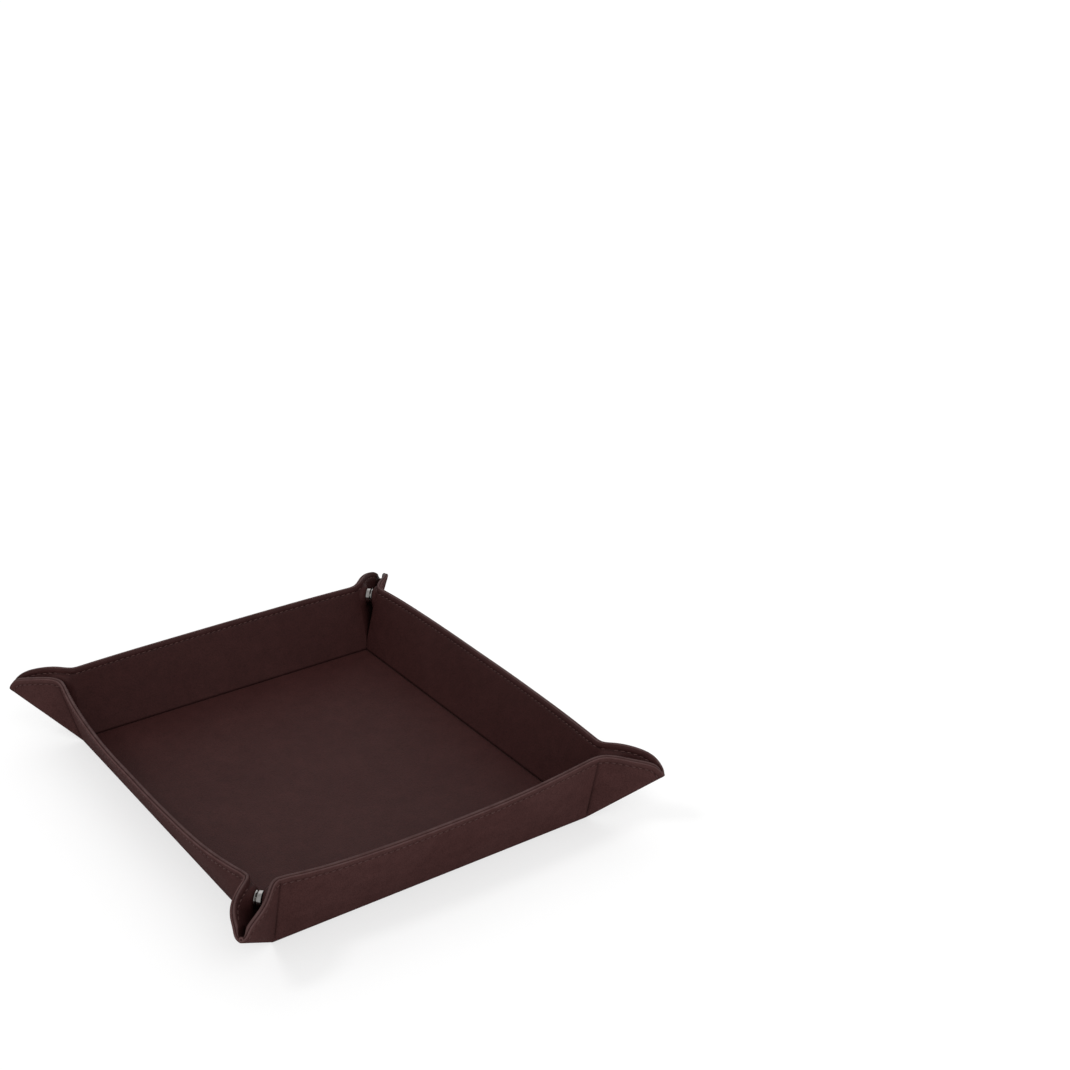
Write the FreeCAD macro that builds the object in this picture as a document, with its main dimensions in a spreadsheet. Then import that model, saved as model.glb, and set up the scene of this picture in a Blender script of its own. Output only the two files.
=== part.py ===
import FreeCAD
import Part
import Sketcher
import math
import os

Vector = FreeCAD.Vector
Rotation = FreeCAD.Rotation
Placement = FreeCAD.Placement

# Every size is in millimetres and every angle in degrees.
SIZES = [
    ("floor_width", "178", "floor between the side folds"),
    ("floor_depth", "218", "floor between the front and back folds"),
    ("wall_height", "40", "wall from its fold to its rim, along the slope"),
    ("fold_angle", "76.4", "turn of a wall from flat to standing"),
    ("outer_thickness", "1.2", "outer leather"),
    ("lining_thickness", "1.6", "lining, with the board let into its hidden face"),
    ("board_thickness", "0.8", "stiffening board"),
    ("board_margin", "6", "leather left clear around a board"),
    ("fold_clearance", "0.2", "free space between a rounded fold and the next panel"),
    ("ear_clearance", "0.1", "free space from an ear leaf to the middle of its ear"),
    ("vertex_relief", "3.2", "radius left open where five panels meet"),
    ("rim_radius", "0.7", "rounding of the rim on each face, a bevel on the ears"),
    ("ear_reach", "48.5", "length of an ear along its fold"),
    ("ear_edge_radius", "35", "curve of the free edge of an ear"),
    ("stitch_inset", "3.2", "middle of the stitch channel from the rim"),
    ("stitch_width", "1.1", "width of the stitch channel"),
    ("stitch_depth", "0.25", "depth of the stitch channel"),
    ("snap_out", "7", "middle of a snap from the crease"),
    ("snap_up", "32", "middle of a snap from the floor fold"),
    ("snap_half", "1.6", "half the height of a closed snap"),
    ("snap_radius", "4.5", "socket and stud flange"),
    ("snap_edge", "0.35", "edge break of the socket and the stud flange"),
    ("pad_radius", "4.3", "leather drawn up under a snap"),
    ("socket_height", "2.2", "socket from base to mouth"),
    ("socket_base", "0.7", "thickness of the base of the socket"),
    ("socket_bore", "2.7", "radius of the mouth of the socket"),
    ("spring_seat", "3.3", "radius of the room for the spring, behind the mouth"),
    ("spring_start", "1.25", "lower edge of the spring above the back of the socket"),
    ("spring_wire", "0.56", "side of the square spring wire"),
    ("spring_sweep", "325", "turn of the open spring ring"),
    ("stud_flange", "0.7", "thickness of the stud flange"),
    ("stud_neck", "1.9", "radius of the neck of the stud"),
    ("stud_head", "2.3", "radius of the head of the stud"),
    ("stud_neck_end", "1.15", "end of the neck above the stud base"),
    ("stud_swell", "1.4", "widest place of the stud above its base"),
    ("stud_height", "1.9", "stud above its base"),
    ("stud_crown", "1.6", "radius of the flat end of the stud"),
    ("stud_hollow", "1.45", "depth of the hollow in the stud"),
    ("eyelet_flange", "0.5", "thickness of the eyelet flange"),
    ("eyelet_reach", "3.5", "radius of the eyelet flange"),
    ("tube_radius", "1.5", "outside of the eyelet tube"),
    ("tube_bore", "1.1", "inside of the eyelet tube"),
    ("tube_start", "0.35", "start of the tube above the middle of the leaf"),
    ("tube_roll", "0.3", "height of the rolled end of the tube"),
    ("roll_radius", "2.1", "radius of the rolled end of the tube"),
    ("stud_tube", "1.2", "tube of the stud eyelet above the stud base"),
    ("overrun", "2", "reach of a cut past the face it starts from"),
]

doc = FreeCAD.newDocument("valet_tray")
sizes = doc.addObject("Spreadsheet::Sheet", "sizes")
for row, (alias, amount, meaning) in enumerate(SIZES, start=1):
    sizes.set("A%d" % row, meaning)
    sizes.set("B%d" % row, amount)
    sizes.setAlias("B%d" % row, alias)
doc.recompute()

# Lengths that follow from the sheet, written as expressions so that each sketch stays bound to it.
THICK = "(sizes.outer_thickness + sizes.lining_thickness)"
HALF = "(%s / 2)" % THICK
SEAM = "(sizes.outer_thickness - %s)" % HALF
CLEAR = "(%s + sizes.fold_clearance)" % HALF
FOLD = "(sizes.fold_angle * 1 deg)"
LEAN = "(90 deg - %s)" % FOLD
TIP = "(sizes.ear_reach / sqrt(2))"
WALL = "sizes.wall_height"
PAST = "(%s + sizes.overrun)" % HALF
GROOVE_FAR = "(sizes.stitch_inset - sizes.stitch_width / 2)"
GROOVE_NEAR = "(sizes.stitch_inset + sizes.stitch_width / 2)"
# A snap stands on the line through its place on the leaf, square to the middle plane of the ear.
SNAP_MIDDLE = "((sizes.snap_up - sizes.snap_out) / sqrt(2) * sin(%s))" % LEAN
SNAP_BASE = "(%s - sizes.snap_half)" % SNAP_MIDDLE
# The free edge of an ear is one arc from the rim at the crease to the tip of the fold.
CHORD = "(sqrt(pow(%s; 2) + pow(%s - %s; 2)) / 2)" % (TIP, WALL, TIP)
DROP = "(sqrt(pow(sizes.ear_edge_radius; 2) - pow(%s; 2)) / (2 * %s))" % (CHORD, CHORD)
EDGE_OUT = "(%s / 2 - (%s - %s) * %s)" % (TIP, WALL, TIP, DROP)
EDGE_UP = "((%s + %s) / 2 - %s * %s)" % (WALL, TIP, TIP, DROP)


def number(expression):
    """The value of an expression, in millimetres or degrees."""
    found = sizes.evalExpression(expression)
    return float(getattr(found, "Value", found))


def minus(expression):
    return "0" if expression == "0" else "-(%s)" % expression


def sided(side, expression):
    """The expression, mirrored for the far end of a wall."""
    return expression if side > 0 else minus(expression)


def plane(body, role):
    return [f for f in body.Origin.OriginFeatures if f.Role == role][0]


def new_sketch(body, name, role, height="0", turn=0):
    """A sketch on one of the body's own planes, lifted along it or turned about the upright of it."""
    sketch = body.newObject("Sketcher::SketchObject", name)
    sketch.AttachmentSupport = [(plane(body, role), "")]
    sketch.MapMode = "FlatFace"
    sketch.AttachmentOffset = Placement(Vector(0, 0, 0), Rotation(Vector(0, 1, 0), turn))
    if height != "0":
        sketch.setExpression(".AttachmentOffset.Base.z", height)
    return sketch


def pin(sketch, shape, end, across, upward):
    """Ties one point of a sketch to two expressions."""
    for kind, axis, expression in (("DistanceX", -2, across), ("DistanceY", -1, upward)):
        if expression == "0":
            sketch.addConstraint(Sketcher.Constraint("PointOnObject", shape, end, axis))
        else:
            where = sketch.addConstraint(
                Sketcher.Constraint(kind, -1, 1, shape, end, number(expression))
            )
            sketch.setExpression("Constraints[%d]" % where, expression)


def draw(sketch, path):
    """Closes a path of points. A third term is the radius of the arc that follows, minus for a right turn."""
    spots = [Vector(number(point[0]), number(point[1]), 0) for point in path]
    ends = []
    for place, point in enumerate(path):
        start = spots[place]
        finish = spots[(place + 1) % len(path)]
        if len(point) == 2:
            shape = sketch.addGeometry(Part.LineSegment(start, finish), False)
            ends.append((shape, 1, 2))
            continue
        left_turn = not point[2].startswith("-")
        radius = point[2].lstrip("-")
        reach = number(radius)
        span = finish - start
        half_span = span.Length / 2
        upright = Vector(-span.y, span.x, 0) / span.Length
        depth = math.sqrt(max(reach**2 - half_span**2, 0))
        middle = start + span / 2 + upright * (depth if left_turn else -depth)
        circle = Part.Circle(middle, Vector(0, 0, 1), reach)
        first, last = (start, finish) if left_turn else (finish, start)
        arc = Part.ArcOfCircle(circle, circle.parameter(first), circle.parameter(last))
        shape = sketch.addGeometry(arc, False)
        ends.append((shape, 1, 2) if left_turn else (shape, 2, 1))
        where = sketch.addConstraint(Sketcher.Constraint("Radius", shape, reach))
        sketch.setExpression("Constraints[%d]" % where, radius)
    for place, point in enumerate(path):
        shape, begin, _ = ends[place]
        before, _, end = ends[place - 1]
        sketch.addConstraint(Sketcher.Constraint("Coincident", before, end, shape, begin))
        pin(sketch, shape, begin, point[0], point[1])
    return sketch


def ring(sketch, across, upward, radii):
    """Full circles about one middle."""
    for radius in radii:
        middle = Vector(number(across), number(upward), 0)
        circle = Part.Circle(middle, Vector(0, 0, 1), number(radius))
        shape = sketch.addGeometry(circle, False)
        pin(sketch, shape, 3, across, upward)
        where = sketch.addConstraint(Sketcher.Constraint("Radius", shape, number(radius)))
        sketch.setExpression("Constraints[%d]" % where, radius)
    return sketch


def box_path(west, south, east, north):
    return [(west, south), (east, south), (east, north), (west, north)]


def extrude(body, kind, name, sketch, length, symmetric=False, reverse=False):
    """A pad or a pocket of a sketch; a pocket goes down from its sketch unless it is reversed."""
    step = body.newObject("PartDesign::" + kind, name)
    step.Profile = sketch
    step.Type = "Length"
    step.SideType = "Symmetric" if symmetric else "One side"
    step.Reversed = reverse
    step.setExpression("Length", length)
    sketch.Visibility = False
    return step


def tilted(side):
    """The turn from a leaf's own upright to the line of its snap, about the ear fold."""
    return Rotation(Vector(side, 1, 0), side * number(LEAN))


def post(body, kind, name, side, start, radius, height):
    """A cylinder on the line of the snap, added to or taken from a leaf."""
    step = body.newObject("PartDesign::" + kind + "Cylinder", name)
    step.AttachmentSupport = [(plane(body, "XY_Plane"), "")]
    step.MapMode = "FlatFace"
    turn = tilted(side)
    foot = Vector(side * number("sizes.snap_out"), number("sizes.snap_up"), 0)
    foot += turn.multVec(Vector(0, 0, number(start)))
    step.AttachmentOffset = Placement(foot, turn)
    step.setExpression("Radius", radius)
    step.setExpression("Height", height)
    return step


finished = []


def new_body(label, place):
    body = doc.addObject("PartDesign::Body", label)
    body.Label = label
    body.Placement = place
    finished.append(body)
    return body


def relieve(body, middles):
    """Opens the panel where it would meet its neighbours at a corner of the floor."""
    opening = new_sketch(body, body.Name + "_relief", "XY_Plane")
    for across, upward in middles:
        ring(opening, across, upward, ["sizes.vertex_relief"])
    extrude(body, "Pocket", body.Name + "_corner_relief", opening, "2 * " + PAST, symmetric=True)


def recess_board(body, path):
    pocket = draw(new_sketch(body, body.Name + "_board_outline", "XY_Plane", SEAM), path)
    extrude(body, "Pocket", body.Name + "_board_recess", pocket, "sizes.board_thickness", reverse=True)


def flat_panel(label, place, path, bottom, thickness):
    body = new_body(label, place)
    outline = draw(new_sketch(body, label + "_outline", "XY_Plane", bottom), path)
    extrude(body, "Pad", label + "_sheet", outline, thickness)
    return body


def build_floor(place):
    across = "(sizes.floor_width / 2 - %s)" % CLEAR
    along = "(sizes.floor_depth / 2 - %s)" % CLEAR
    path = box_path(minus(across), minus(along), across, along)
    half_width = "sizes.floor_width / 2"
    half_depth = "sizes.floor_depth / 2"
    corners = [
        (sided(x_side, half_width), sided(y_side, half_depth)) for x_side in (1, -1) for y_side in (1, -1)
    ]
    board_across = "(sizes.floor_width / 2 - sizes.board_margin)"
    board_along = "(sizes.floor_depth / 2 - sizes.board_margin)"
    board = box_path(minus(board_across), minus(board_along), board_across, board_along)
    outer = flat_panel("floor_outer", place, path, minus(HALF), "sizes.outer_thickness")
    relieve(outer, corners)
    lining = flat_panel("floor_lining", place, path, SEAM, "sizes.lining_thickness")
    relieve(lining, corners)
    recess_board(lining, board)
    flat_panel("floor_board", place, board, SEAM, "sizes.board_thickness")


def wall_profile(face):
    """The section of one leather of a wall: round foot, stitch channel, round rim. The outer face is -1."""

    def off(depth):
        return sided(face, "(%s - %s)" % (HALF, depth))

    skin = sided(face, HALF)
    foot = minus("sqrt(pow(%s; 2) - pow(%s; 2))" % (HALF, SEAM))
    far = "(%s - %s)" % (WALL, GROOVE_FAR)
    near = "(%s - %s)" % (WALL, GROOVE_NEAR)
    bend = "-" if face > 0 else ""
    return [
        (foot, SEAM, bend + HALF),
        ("0", skin),
        (near, skin),
        (near, off("sizes.stitch_depth")),
        (far, off("sizes.stitch_depth")),
        (far, skin),
        ("(%s - sizes.rim_radius)" % WALL, skin, bend + "sizes.rim_radius"),
        (WALL, off("sizes.rim_radius")),
        (WALL, SEAM),
    ]


def build_wall(name, length, place):
    run = "(%s - 2 * %s)" % (length, CLEAR)
    corners = [("(%s / 2)" % length, "0"), (minus("(%s / 2)" % length), "0")]
    reach = "(%s / 2 - sizes.board_margin)" % length
    board = box_path(minus(reach), "sizes.board_margin", reach, "(%s - sizes.board_margin)" % WALL)
    for layer, face in (("outer", -1), ("lining", 1)):
        body = new_body(name + "_wall_" + layer, place)
        section = draw(new_sketch(body, body.Name + "_section", "YZ_Plane"), wall_profile(face))
        extrude(body, "Pad", body.Name + "_sheet", section, run, symmetric=True)
        relieve(body, corners)
        if layer == "lining":
            recess_board(body, board)
    flat_panel(name + "_wall_board", place, board, SEAM, "sizes.board_thickness")


def round_crease(body, side):
    """Rounds the edge of a leaf about its crease with the wall."""
    far = sided(side, minus(PAST))
    bend = "-" + HALF if side > 0 else HALF
    arcs = draw(
        new_sketch(body, body.Name + "_crease_section", "XZ_Plane"),
        [
            ("0", PAST),
            (far, PAST),
            (far, minus(PAST)),
            ("0", minus(PAST)),
            ("0", minus(HALF), bend),
            (sided(side, minus(HALF)), "0", bend),
            ("0", HALF),
        ],
    )
    extrude(body, "Pocket", body.Name + "_crease", arcs, "4 * " + WALL, symmetric=True)


def diagonal_sketch(body, side, name):
    """A sketch square to the ear fold, its first axis pointing into the leaf."""
    quarter_turn = 90
    half_corner = 45
    return new_sketch(body, name, "XZ_Plane", turn=quarter_turn + side * half_corner)


def clear_fold(body, side, radius):
    """Cuts a leaf back from the rounded ear fold, and from the middle of the ear on its inner face."""
    lip = "sqrt(pow(%s; 2) - pow(%s; 2))" % (radius, HALF)
    slope = "(%s - asin(sizes.ear_clearance / %s))" % (LEAN, radius)
    far = "((%s * cos(%s) + sizes.ear_clearance) / sin(%s))" % (PAST, LEAN, LEAN)
    touching = radius == HALF
    path = [
        (minus(PAST), minus(PAST)),
        ("0" if touching else lip, minus(PAST)),
        ("0" if touching else lip, minus(HALF), radius),
        ("(%s * cos(%s))" % (radius, slope), "(%s * sin(%s))" % (radius, slope)),
        (far, PAST),
        (minus(PAST), PAST),
    ]
    section = draw(diagonal_sketch(body, side, body.Name + "_fold_section"), path)
    extrude(body, "Pocket", body.Name + "_fold", section, "4 * " + WALL, symmetric=True)


def channel(body, side, face):
    """The stitch channel along the free edge of a leaf."""
    level = sided(face, "(%s - sizes.stitch_depth)" % HALF)
    radii = ["(sizes.ear_edge_radius - %s)" % inset for inset in (GROOVE_FAR, GROOVE_NEAR)]
    rings = ring(
        new_sketch(body, body.Name + "_channel", "XY_Plane", level), sided(side, EDGE_OUT), EDGE_UP, radii
    )
    extrude(body, "Pocket", body.Name + "_stitch_channel", rings, "sizes.overrun", reverse=face > 0)


def soften_rim(body, side, face):
    """Bevels the free edge of a leaf on its open face, by turning a section about the middle of the arc."""
    section = new_sketch(body, body.Name + "_rim_section", "XZ_Plane", minus(EDGE_UP))
    section.setExpression(".AttachmentOffset.Base.x", sided(side, EDGE_OUT))
    edge = "sizes.ear_edge_radius"
    past_edge = "(sizes.ear_edge_radius + sizes.overrun)"
    level = sided(face, "(%s - sizes.rim_radius)" % HALF)
    draw(
        section,
        [
            ("(%s - sizes.rim_radius)" % edge, sided(face, HALF)),
            (edge, level),
            (past_edge, level),
            (past_edge, sided(face, PAST)),
            ("(%s - sizes.rim_radius)" % edge, sided(face, PAST)),
        ],
    )
    turned = body.newObject("PartDesign::Groove", body.Name + "_rim")
    turned.Profile = section
    turned.ReferenceAxis = (section, ["V_Axis"])
    turned.Angle = 360
    section.Visibility = False


def build_leaf(name, side, place, folded):
    """One leaf of an ear, in two leathers. The outer leather of the folded leaf carries the round fold."""
    path = [
        (sided(side, minus(HALF)), "0"),
        ("0", "0"),
        (sided(side, TIP), TIP, "sizes.ear_edge_radius" if side > 0 else "-sizes.ear_edge_radius"),
        ("0", WALL),
        (sided(side, minus(HALF)), WALL),
    ]
    layers = (("outer", -1, minus(HALF)), ("lining", 1, SEAM))
    for layer, face, bottom in layers:
        body = flat_panel(name + "_" + layer, place, path, bottom, "sizes.%s_thickness" % layer)
        soften_rim(body, side, face)
        round_crease(body, side)
        if folded and layer == "outer":
            roll = ring(diagonal_sketch(body, side, body.Name + "_roll"), "0", "0", [HALF])
            extrude(body, "Pad", body.Name + "_ear_fold", roll, "sizes.ear_reach", reverse=side < 0)
        else:
            clear_fold(body, side, HALF if folded else CLEAR)
        relieve(body, [("0", "0")])
        channel(body, side, face)
        if layer == "lining":
            seat_snap(body, side, folded)


def tube_length(folded):
    past = "(sizes.socket_base + sizes.tube_roll)" if folded else "sizes.stud_tube"
    return "(%s + %s - sizes.tube_start)" % (SNAP_BASE, past)


def seat_snap(body, side, folded):
    """Draws the lining up to a flat seat for the snap, with room for the eyelet behind it."""
    across = sided(side, "sizes.snap_out")
    post(body, "Additive", body.Name + "_seat", side, "0", "sizes.pad_radius", SNAP_BASE)
    trim = ring(
        new_sketch(body, body.Name + "_seat_outline", "XY_Plane", SEAM),
        across,
        "sizes.snap_up",
        ["sizes.pad_radius + sizes.overrun"],
    )
    extrude(body, "Pocket", body.Name + "_seat_trim", trim, THICK)
    recess = ring(
        new_sketch(body, body.Name + "_flange_outline", "XY_Plane", SEAM),
        across,
        "sizes.snap_up",
        ["sizes.eyelet_reach"],
    )
    extrude(body, "Pocket", body.Name + "_flange_recess", recess, "sizes.eyelet_flange", reverse=True)
    post(
        body,
        "Subtractive",
        body.Name + "_tube_hole",
        side,
        "sizes.tube_start",
        "sizes.tube_radius",
        tube_length(folded) + " + sizes.overrun",
    )


def build_eyelet(name, side, place, folded):
    """A flange between the leathers, and a tube through the lining that ends in the snap."""
    body = new_body(name, place)
    across = sided(side, "sizes.snap_out")
    flange = ring(
        new_sketch(body, name + "_outline", "XY_Plane", SEAM),
        across,
        "sizes.snap_up",
        ["sizes.eyelet_reach"],
    )
    extrude(body, "Pad", name + "_flange", flange, "sizes.eyelet_flange")
    start = "sizes.tube_start"
    post(body, "Additive", name + "_tube", side, start, "sizes.tube_radius", tube_length(folded))
    if folded:
        roll_start = "(%s + sizes.socket_base)" % SNAP_BASE
        roll_name = name + "_rolled_end"
        post(body, "Additive", roll_name, side, roll_start, "sizes.roll_radius", "sizes.tube_roll")
        bore = "(sizes.tube_start + sizes.eyelet_flange)"
        post(body, "Subtractive", name + "_bore", side, bore, "sizes.tube_bore", tube_length(folded))


def spin(name, place, path, sweep="360"):
    """A turned piece, from half of its section."""
    body = new_body(name, place)
    section = draw(new_sketch(body, name + "_section", "XZ_Plane"), path)
    turned = body.newObject("PartDesign::Revolution", name + "_turned")
    turned.Profile = section
    turned.ReferenceAxis = (section, ["V_Axis"])
    turned.setExpression("Angle", sweep)
    section.Visibility = False
    return body


def build_socket(name, place):
    wide = "sizes.snap_radius"
    inner = "(sizes.snap_radius - sizes.snap_edge)"
    top = "sizes.socket_height"
    seat_end = "(sizes.spring_start + sizes.spring_wire)"
    path = [
        ("sizes.tube_radius", "0"),
        (wide, "0"),
        (wide, "(%s - sizes.snap_edge)" % top),
        (inner, top),
        ("sizes.socket_bore", top),
        ("sizes.socket_bore", seat_end),
        ("sizes.spring_seat", seat_end),
        ("sizes.spring_seat", "sizes.socket_base"),
        ("sizes.tube_radius", "sizes.socket_base"),
    ]
    spin(name, place, path)


def build_stud(name, place):
    wide = "sizes.snap_radius"
    inner = "(sizes.snap_radius - sizes.snap_edge)"
    path = [
        ("sizes.tube_radius", "0"),
        (wide, "0"),
        (wide, "(sizes.stud_flange - sizes.snap_edge)"),
        (inner, "sizes.stud_flange"),
        ("sizes.stud_neck", "sizes.stud_flange"),
        ("sizes.stud_neck", "sizes.stud_neck_end"),
        ("sizes.stud_head", "sizes.stud_swell"),
        ("sizes.stud_crown", "sizes.stud_height"),
        ("0", "sizes.stud_height"),
        ("0", "sizes.stud_hollow"),
        ("sizes.tube_radius", "sizes.stud_hollow"),
    ]
    spin(name, place, path)


def build_spring(name, place):
    """An open ring of square wire behind the mouth of the socket."""
    inside = "(sizes.spring_seat - sizes.spring_wire)"
    end = "(sizes.spring_start + sizes.spring_wire)"
    section = box_path(inside, "sizes.spring_start", "sizes.spring_seat", end)
    spin(name, place, section, "sizes.spring_sweep")


half_width = number("sizes.floor_width") / 2
half_depth = number("sizes.floor_depth") / 2
axis_height = number(HALF)
wall_turn = number("sizes.fold_angle")
swing = math.radians(wall_turn)
# The turn of a leaf from its wall at which both leaves of an ear meet along one fold.
lean_back = math.atan(math.sin(swing))
leaf_turn = math.degrees(math.acos(math.cos(swing) / math.hypot(1, math.sin(swing))) - lean_back)

# Each wall: middle of its fold, direction it faces, length of the fold.
WALLS = {
    "front": (Vector(0, -half_depth, axis_height), 180, "sizes.floor_width"),
    "back": (Vector(0, half_depth, axis_height), 0, "sizes.floor_width"),
    "left": (Vector(-half_width, 0, axis_height), 90, "sizes.floor_depth"),
    "right": (Vector(half_width, 0, axis_height), -90, "sizes.floor_depth"),
}
wall_places = {}
for wall, (middle, facing, length) in WALLS.items():
    flat = Placement(middle, Rotation(Vector(0, 0, 1), facing))
    raised = flat.multiply(Placement(Vector(0, 0, 0), Rotation(Vector(1, 0, 0), wall_turn)))
    wall_places[wall] = raised

build_floor(Placement(Vector(0, 0, axis_height), Rotation()))
for wall, (middle, facing, length) in WALLS.items():
    build_wall(wall, length, wall_places[wall])


def leaf_place(wall, side):
    """The place of a leaf: its origin is the corner of the floor, its second axis the crease."""
    length = number(WALLS[wall][2])
    end = Placement(Vector(side * length / 2, 0, 0), Rotation(Vector(0, 1, 0), side * leaf_turn))
    return wall_places[wall].multiply(end)


def snap_place(leaf, side):
    """The place of a snap half on its leaf: its third axis is the line of the snap."""
    spot = Vector(side * number("sizes.snap_out"), number("sizes.snap_up"), 0)
    turned = leaf.multiply(Placement(spot, tilted(side)))
    return turned.multiply(Placement(Vector(0, 0, number(SNAP_BASE)), Rotation()))


# At each corner the front or back wall carries the socket leaf, and the side wall the stud leaf.
for depth_wall, depth_sign in (("front", -1), ("back", 1)):
    for width_wall, width_sign in (("left", -1), ("right", 1)):
        corner = depth_wall + "_" + width_wall
        socket_side = depth_sign * width_sign
        stud_side = -depth_sign * width_sign
        socket_leaf = leaf_place(depth_wall, socket_side)
        stud_leaf = leaf_place(width_wall, stud_side)
        build_leaf(corner + "_socket_leaf", socket_side, socket_leaf, True)
        build_leaf(corner + "_stud_leaf", stud_side, stud_leaf, False)
        build_eyelet(corner + "_socket_eyelet", socket_side, socket_leaf, True)
        build_eyelet(corner + "_stud_eyelet", stud_side, stud_leaf, False)
        build_socket(corner + "_snap_socket", snap_place(socket_leaf, socket_side))
        build_spring(corner + "_snap_spring", snap_place(socket_leaf, socket_side))
        build_stud(corner + "_snap_stud", snap_place(stud_leaf, stud_side))

doc.recompute()

for thing in doc.Objects:
    if "Invalid" in thing.State or "Error" in thing.State:
        raise RuntimeError("%s did not build" % thing.Label)

os.makedirs("parts", exist_ok=True)
for piece in finished:
    shape = piece.Shape
    if shape.isNull() or not shape.isValid() or len(shape.Solids) != 1:
        raise RuntimeError("%s is not one sound solid" % piece.Label)
    shape.exportStep("parts/%s.step" % piece.Label)
    print(piece.Label, round(shape.Volume, 2))
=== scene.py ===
import math

import bmesh
import bpy
import numpy as np
from mathutils import Matrix, Vector


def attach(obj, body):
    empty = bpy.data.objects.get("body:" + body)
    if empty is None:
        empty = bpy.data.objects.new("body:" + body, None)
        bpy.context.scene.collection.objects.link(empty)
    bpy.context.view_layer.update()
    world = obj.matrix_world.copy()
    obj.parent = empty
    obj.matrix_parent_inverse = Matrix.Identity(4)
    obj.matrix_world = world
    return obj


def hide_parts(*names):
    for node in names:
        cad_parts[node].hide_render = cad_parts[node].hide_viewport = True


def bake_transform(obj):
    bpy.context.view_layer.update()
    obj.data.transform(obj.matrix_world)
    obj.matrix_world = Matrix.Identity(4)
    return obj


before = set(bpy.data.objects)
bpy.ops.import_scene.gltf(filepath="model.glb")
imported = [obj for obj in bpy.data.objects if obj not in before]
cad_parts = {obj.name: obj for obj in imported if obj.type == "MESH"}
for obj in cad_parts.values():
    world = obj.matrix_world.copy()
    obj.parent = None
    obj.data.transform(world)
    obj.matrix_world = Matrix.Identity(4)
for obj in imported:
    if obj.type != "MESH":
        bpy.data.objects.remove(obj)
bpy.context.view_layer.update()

# Sizes in millimetres and angles in radians, the same as in the part's source. HALF is half of the
# thickness through both leathers, SEAM the height of the joint between them.
FLOOR_WIDTH = 178.0
FLOOR_DEPTH = 218.0
WALL_HEIGHT = 40.0
HALF = 1.4
SEAM = -0.2
FOLD = math.radians(76.4)
CREASE = math.radians(36.107165)
EAR_HALF = math.pi / 2 - FOLD
EAR_TURN = 2 * FOLD
EAR_REACH = 48.5
EDGE_RADIUS = 35.0
STITCH_INSET = 3.2
STITCH_PITCH = 3.3

MILLIMETRE = 0.001
ROOT2 = math.sqrt(2)
# How far an ear's fold reaches along and across its wall, and where the lining of a wall meets the floor's.
TIP = EAR_REACH / ROOT2
INNER_LOW = HALF * math.tan(FOLD / 2)

# Shape of the leather in the scene, in millimetres.
# The zone below the rim in which rows keep their distance from it.
RIM_ZONE = 6.0
# The join of a wall's rim and the ear's arc, and how much fuller than the arc the ear is near its tip.
EDGE_BLEND = 4.0
EDGE_FULL = 1.9
# Brings r**4 * (1 - r) to 1 at its highest.
FULL_PEAK = 12.2
# Width of the round turn beside a crease, and the angle by which a panel joins in it.
BEND = 6.0
BEND_TURN = BEND * math.tan(CREASE / 2) / 2 / WALL_HEIGHT
# The pressed groove along a crease on the outer leather.
GROOVE_WIDTH = 0.75
GROOVE_DEPTH = 0.5
# Painted shade beside a crease on the outer leather, and how far it reaches on the wall and on the leaf.
SHADE_DARK = 0.6
SHADE_WALL = 0.7
SHADE_LEAF = 1.3
# Painted shade along the line between the floor and a wall, and how far it reaches.
LINE_DARK = 0.6
LINE_REACH = 1.3
# Rounding of the lining inside a fold, and how far the outer leathers lap at the foot of a crease.
FOLD_CORE = 1.1
CREASE_LAP = 0.2
# Rise over which a wall's ends come to their mitre, and the height beyond which a point is on a face.
MITRE_START = 2.0
FACE_HEIGHT = 1.1
# The stitch channel: its depth and the painted shade in it, then the insets and depths of its rows.
CHANNEL_DEPTH = 0.26
CHANNEL_DARK = 0.55
CHANNEL_ROWS = (
    (2.6, 0.03),
    (2.85, 0.16),
    (3.05, 0.24),
    (3.2, CHANNEL_DEPTH),
    (3.35, 0.24),
    (3.55, 0.16),
    (3.85, 0.03),
)
RIM_PUFF = 0.07
# Rim beads: middle height, half width, rise, and whether the rows run from the low side.
LINING_BEAD = (0.6, 0.8, 0.6, True)
OUTER_BEAD = (-0.8, 0.6, 0.52, False)
# Rows of the pressed line between the floor and a wall: distance from it and depth.
LINE_ROWS = ((1.4, 0), (0.75, 0), (0.5, 0.03), (0.32, 0.1), (0.18, 0.21), (0.1, 0.35))
# Rows of the plain faces, as shares of the rise or of the way to the rim zone.
WALL_SHARES = (0.72, 0.6, 0.48, 0.36, 0.24, 0.14)
LEAF_SHARES = (0.97, 0.93, 0.89, 0.85, 0.81, 0.77, 0.73, 0.69, 0.65, 0.56, 0.44, 0.33, 0.23, 0.15, 0.09)
# Insets of the floor's inner loops, and the points along each side of a loop.
FLOOR_INSETS = (32, 44, 58, 74, 86, 88.6)
FLOOR_STEPS = 24
# Stations beside a crease.
NEAR_CREASE = [0, 0.12, 0.25, 0.4, 0.55, 0.75, 1.1, 1.6, 2.2, 3.0, 4.0]
# Slight unevenness of walls and floor, how far from a crease the walls' is full, and its first phase.
WAVE_HEIGHT = 0.09
RIPPLE_HEIGHT = 0.07
WAVE_CLEAR = 14
WAVE_PHASE = 1.3
# Outward bow of each wall's rim in the middle, and the powers by which it falls off to its two ends.
BOWS = {
    "front": (5.9, 2.0, 3.2),
    "back": (4.5, 2.5, 2.5),
    "left": (8.1, 3.5, 2.8),
    "right": (5.4, 4.0, 2.4),
}
# How far the leaves open about the ear's fold at each corner, in radians: socket leaf, stud leaf.
SPREADS = {
    "front_left": (0.25, 0.29),
    "front_right": (0.17, 0.19),
    "back_left": (0.17, 0.17),
    "back_right": (0.17, 0.21),
}
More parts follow.
